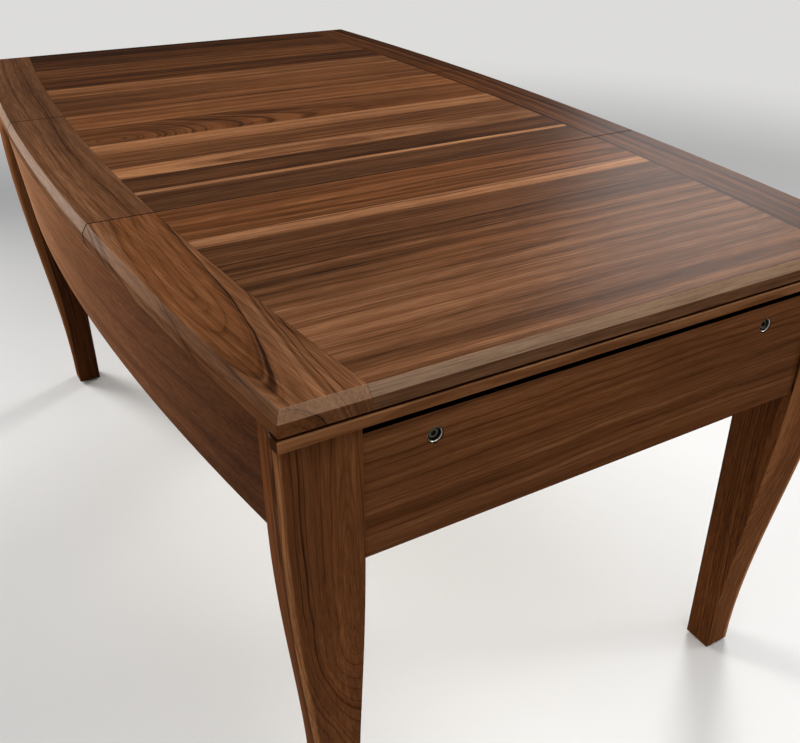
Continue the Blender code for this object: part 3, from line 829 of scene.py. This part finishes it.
class TABLE_OT_aprons(bpy.types.Operator):
    """Ease the bowed long aprons and the end aprons"""

    bl_idname = "table.aprons"
    bl_label = "Aprons"

    # The middle of each show face: its height, and how far out the long one is
    long_height = 0.64
    long_reach = 0.46
    end_height = 0.62
    # The painted light and shade on the long aprons stop changing past this point towards the far end
    faded = -0.35

    def execute(self, context):
        edges = context.scene.table_edges
        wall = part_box("vault_wall_near")
        inner_x = wall[0][0] - HAIR
        inner_y = wall[1][1] - HAIR
        for i, (place, side) in enumerate(SIDES.items()):
            apron = board_from(f"long_apron_{place}", f"bowed_apron_{place}")
            ease(apron, edges.apron, lambda edge: all(abs(vertex.co.x) < inner_x for vertex in edge.verts))
            number = FIRST_BOARD["long_apron"] + i
            marks = sawn(number, LONG_APRON, self.long_height, self.long_reach * side, -side)
            # Painted light and shade along the long aprons: darker towards the near end, paler towards the
            # far end
            grain_marks(apron, lambda centre: painted_falloff(marks, max(centre.x, self.faded)))
            smooth(apron, walnut_along("X", "Z", "Y", "side"))
        end_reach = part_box("end_apron_near")[1][0]
        for i, (place, end) in enumerate(ENDS.items()):
            apron = board_from(f"end_apron_{place}", f"end_board_{place}")
            ease(apron, edges.apron, lambda edge: edge.calc_length() > 0.1
                 and all(abs(vertex.co.y) < inner_y for vertex in edge.verts))
            marks = sawn(FIRST_BOARD["end_apron"] + i, END_APRON, self.end_height, end_reach * end, -end)
            grain_marks(apron, lambda centre: marks)
            # Painted shade: the end apron's top, seen through the slot, is painted black
            mark_faces(apron, lambda face: face.normal.z > 0.95, tone=PAINTED_SLOT_SHADE)
            smooth(apron, walnut_along("Y", "Z", "X"))
        return {"FINISHED"}


class TABLE_OT_legs(bpy.types.Operator):
    """Round the legs' outer corners and lay their grain along the curve"""

    bl_idname = "table.legs"
    bl_label = "Legs"

    def execute(self, context):
        edges = context.scene.table_edges
        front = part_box("leg_near_left")[1][0]
        straight = {"bend": 0.0, "open": 0.0}
        for i, (end_name, side_name) in enumerate((end, side) for end in ENDS for side in SIDES):
            node = f"leg_{end_name}_{side_name}"
            leg = board_from(node, f"curved_leg_{end_name}_{side_name}")
            end = ENDS[end_name]
            side = SIDES[side_name]
            outwards = Vector((end, 0, 0))
            sidewards = Vector((0, side, 0))
            ease(leg, edges.leg_corner, lambda edge: climb(edge) > 0.01
                 and faces_towards(edge, outwards) and faces_towards(edge, sidewards), 4)
            self.follow_curve(leg, node, side)
            marks = sawn(FIRST_BOARD["leg"] + i, LEGS[side_name], 0, front * end, -end)
            marks["open"] = 1.0
            grain_marks(leg, lambda centre: marks)
            mark_faces(leg, lambda face: face.normal.x * end > 0.6, sap=LEG_SAPWOOD)
            # Painted light and shade: the legs' faces are darker or paler by where they look, as the light
            # falls on them
            mark_faces(leg, lambda face: face.normal.y * side > 0.8, tone=LEG_OUTER_LIGHT_AND_SHADE[end_name], **straight)
            mark_faces(leg, lambda face: face.normal.y * side < -0.6, tone=LEG_INNER_SHADE, **straight)
            mark_faces(leg, lambda face: face.normal.x * end < -0.6, tone=LEG_BACK_SHADE, **straight)
            smooth(leg, walnut_along("Z", "Y", "X", "leg"))
        return {"FINISHED"}

    def follow_curve(self, leg, node, side):
        """Keep on each point how far out the leg's corner is at that height, for the grain to follow."""
        points = [vertex.co for vertex in NODES[node].data.vertices]
        ground = min(point.z for point in points)
        foot = [point for point in points if point.z < ground + HAIR]
        reach_x, reach_y = (max(abs(point[i]) for point in foot) - HAIR for i in (0, 1))
        outer = [point for point in points if abs(point.x) > reach_x and abs(point.y) > reach_y]
        corner = {point.z: abs(point.y) for point in outer}
        heights = sorted(corner)
        swell = leg.data.attributes.new("swell", "FLOAT", "POINT")
        for vertex in leg.data.vertices:
            upper = next((height for height in heights if height >= vertex.co.z), heights[-1])
            lower = heights[max(heights.index(upper) - 1, 0)]
            share = (vertex.co.z - lower) / (upper - lower) if upper > lower else 0.0
            swell.data[vertex.index].value = side * (corner[lower] + share * (corner[upper] - corner[lower]))


class TABLE_OT_vault(bpy.types.Operator):
    """Finish the sunken vault's walls, floor, bearers and blocks, and the leaves' battens"""

    bl_idname = "table.vault"
    bl_label = "Vault"

    def execute(self, context):
        edges = context.scene.table_edges
        for i, place in enumerate((*ENDS, *SIDES)):
            wall = board_from(f"vault_wall_{place}", f"vault_board_{place}")
            ease(wall, edges.leaf, lambda edge: edge.calc_length() > 0.2)
            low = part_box(f"vault_wall_{place}")[0]
            marks = sawn(FIRST_BOARD["wall"] + i, VAULT_WALL, low[2], low[0] if place in ENDS else low[1], 1)
            grain_marks(wall, lambda centre: marks)
            # Painted shade: the walls' backs, seen through the slots, are painted black
            mark_faces(wall, self.away_from_vault, tone=PAINTED_SLOT_SHADE)
            smooth(wall, walnut_along("Y", "Z", "X") if place in ENDS else walnut_along("X", "Z", "Y"))
        ply = material_named("birch_ply", birch)
        for node in NODES:
            if node.startswith(("play_board", "bearer_", "corner_block_")):
                finish_node(node, ply)
            elif "_batten_" in node:
                finish_node(node, walnut_along("X", "Y", "Z"))
        return {"FINISHED"}

    def away_from_vault(self, face):
        """The side of a wall that is seen through the slots, painted black as painted shade."""
        outwards = face.normal.x * face.center.x + face.normal.y * face.center.y
        return abs(face.normal.z) < 0.5 and outwards > 0.1


class TABLE_OT_play_mat(bpy.types.Operator):
    """Lay the cloth play mat on the vault's floor"""

    bl_idname = "table.play_mat"
    bl_label = "Play Mat"

    # How far the mat's soft edge reaches, as a share of its thickness
    soft_edge = 0.35

    def execute(self, context):
        looks = context.scene.table_mat
        low, high = (Vector(corner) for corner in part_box("play_mat"))
        size = high - low
        bpy.ops.object.select_all(action="DESELECT")
        bpy.ops.mesh.primitive_cube_add(size=1, location=(low + high) / 2, scale=size)
        bpy.ops.object.transform_apply(location=True, rotation=True, scale=True)
        mat = context.object
        mat.name = "cloth_mat"
        round_edges(mat, looks.corner, lambda edge: climb(edge) > size.z / 2, 6)
        round_edges(mat, size.z * self.soft_edge, lambda edge: True, 3)
        smooth(mat, material_named("play_cloth", play_cloth, looks))
        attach(mat, BODY_OF["play_mat"])
        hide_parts("play_mat")
        return {"FINISHED"}


class TABLE_OT_dock_sockets(bpy.types.Operator):
    """Finish the metal sockets, their screws and the glides"""

    bl_idname = "table.dock_sockets"
    bl_label = "Dock Sockets"

    # How deep the edges at a socket's mouth reach
    mouth_depth = 0.0012

    def execute(self, context):
        looks = context.scene.table_metal
        steel = material_named("turned_stainless", turned_metal, looks.steel, looks.steel_roughness)
        black = material_named("blackened_screw", turned_metal, looks.screw, looks.screw_roughness)
        nylon = material_named("glide_nylon", moulded_nylon)
        for node in list(NODES):
            if node.startswith("dock_socket_"):
                self.socket(node, steel, context.scene.table_edges.socket)
            elif node.startswith("dock_screw_"):
                finish_node(node, black)
            elif node.startswith("glide_"):
                finish_node(node, nylon)
        return {"FINISHED"}

    def socket(self, node, steel, width):
        """A socket with its mouth eased."""
        socket = board_from(node, node.replace("dock_socket", "turned_socket"))
        mouth = max(abs(corner[0]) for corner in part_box(node)) - self.mouth_depth
        ease(socket, width, lambda edge: all(abs(vertex.co.x) > mouth for vertex in edge.verts), 3)
        smooth(socket, steel)


class TABLE_OT_stage(bpy.types.Operator):
    """Set the floor, the lamps, the even light and the camera"""

    bl_idname = "table.stage"
    bl_label = "Stage"

    # The floor fades out between these distances
    floor_clear = 2.0
    floor_gone = 4.4

    def execute(self, context):
        looks = context.scene.table_stage
        self.floor(context, looks)
        for name, (place, target, size, spread) in LAMPS.items():
            self.lamp(f"{name}_lamp", place, target, size, getattr(looks, name), spread)
        self.sky(context, looks)
        self.camera(context)
        context.scene.view_settings.view_transform = "Standard"
        return {"FINISHED"}

    def floor(self, context, looks):
        """A pale plane that lies just under the feet and fades out all round."""
        bpy.ops.object.select_all(action="DESELECT")
        bpy.ops.mesh.primitive_plane_add(size=24, location=(0, 0, -0.0002))
        floor = context.object
        floor.name = "studio_floor"
        paint = Finish("studio_floor")
        place = paint.place()
        clouds = paint.noise(place, (1.3, 1.3, 1.0), 3.0)
        away = (place[0] * place[0] + place[1] * place[1]) ** 0.5
        paint.set(Base_Color=paint.blend(clouds, shaded(looks.floor, 0.95), shaded(looks.floor, 1.04)),
                  Roughness=0.75, Alpha=1.0 - paint.between(away, self.floor_clear, self.floor_gone))
        floor.data.materials.append(paint.material)

    def lamp(self, name, place, target, size, watts, spread):
        """A square soft lamp that faces a point, its beam narrowed to a spread in degrees."""
        bpy.ops.object.light_add(type="AREA", location=place)
        lamp = bpy.context.object
        lamp.name = name
        lamp.data.size = size
        lamp.data.energy = watts
        lamp.data.spread = math.radians(spread)
        lamp.rotation_euler = (Vector(target) - Vector(place)).to_track_quat("-Z", "Y").to_euler()

    def sky(self, context, looks):
        """Even light all round, which looks like the floor where it is seen or mirrored."""
        sky = Finish("studio", "worlds")
        camera, glossy, through = (sky.node("ShaderNodeLightPath", output=f"Is {ray} Ray")
                                   for ray in ("Camera", "Glossy", "Transmission"))
        even = sky.node("ShaderNodeBackground", inputs={"Color": looks.sky_tint, "Strength": looks.sky})
        pale = sky.node("ShaderNodeBackground", inputs={"Color": looks.floor, "Strength": 1.0})
        either = sky.node("ShaderNodeMixShader", inputs={0: camera + glossy + through, 1: even, 2: pale})
        sky.feed(sky.tree.nodes["World Output"].inputs[0], either)
        context.scene.world = sky.material

    def camera(self, context):
        """The photograph's viewpoint: close over the near left corner, looking along the table."""
        place = (1.4451, -0.6609, 1.2024)
        yaw, pitch, roll = 0.5651, 0.5303, 0.0229
        level = Vector((-math.cos(yaw), math.sin(yaw), 0))
        forward = level * math.cos(pitch) - Vector((0, 0, math.sin(pitch)))
        right = forward.cross(Vector((0, 0, 1))).normalized()
        up = right.cross(forward)
        tilted = right * math.cos(roll) + up * math.sin(roll)
        upright = up * math.cos(roll) - right * math.sin(roll)
        bpy.ops.object.camera_add()
        camera = context.object
        camera.name = "photo_camera"
        turn = Matrix((tilted, upright, -forward)).transposed().to_4x4()
        camera.matrix_world = Matrix.Translation(place) @ turn
        camera.data.sensor_fit = "HORIZONTAL"
        camera.data.sensor_width = 36.0
        camera.data.lens = 41.41
        camera.data.shift_x = -0.05625
        camera.data.clip_start = 0.05
        context.scene.camera = camera


class TABLE_PT_looks(bpy.types.Panel):
    """The table's pieces and finishes"""

    bl_idname = "TABLE_PT_looks"
    bl_label = "Board Game Table"
    bl_space_type = "VIEW_3D"
    bl_region_type = "UI"
    bl_category = "Table"

    def draw(self, context):
        for name, kind in GROUPS.items():
            for key in kind.__annotations__:
                self.layout.prop(getattr(context.scene, name), key)
        for operator in OPERATORS:
            self.layout.operator(operator.bl_idname)


GROUPS = {
    "table_walnut": WalnutLooks,
    "table_edges": EasedEdges,
    "table_mat": PlayMatLooks,
    "table_metal": MetalLooks,
    "table_stage": StageLooks,
}
OPERATORS = (TABLE_OT_stage, TABLE_OT_leaf_panels, TABLE_OT_leaf_rails, TABLE_OT_rim, TABLE_OT_aprons,
             TABLE_OT_legs, TABLE_OT_vault, TABLE_OT_play_mat, TABLE_OT_dock_sockets)


def register():
    for kind in (*GROUPS.values(), *OPERATORS, TABLE_PT_looks):
        bpy.utils.register_class(kind)
    for name, kind in GROUPS.items():
        setattr(bpy.types.Scene, name, bpy.props.PointerProperty(type=kind))


def unregister():
    for name in GROUPS:
        delattr(bpy.types.Scene, name)
    for kind in reversed((*GROUPS.values(), *OPERATORS, TABLE_PT_looks)):
        bpy.utils.unregister_class(kind)


def main():
    register()
    bpy.ops.table.stage()
    bpy.ops.table.leaf_panels()
    bpy.ops.table.leaf_rails()
    bpy.ops.table.rim()
    bpy.ops.table.aprons()
    bpy.ops.table.legs()
    bpy.ops.table.vault()
    bpy.ops.table.play_mat()
    bpy.ops.table.dock_sockets()


if __name__ == "__main__":
    main()
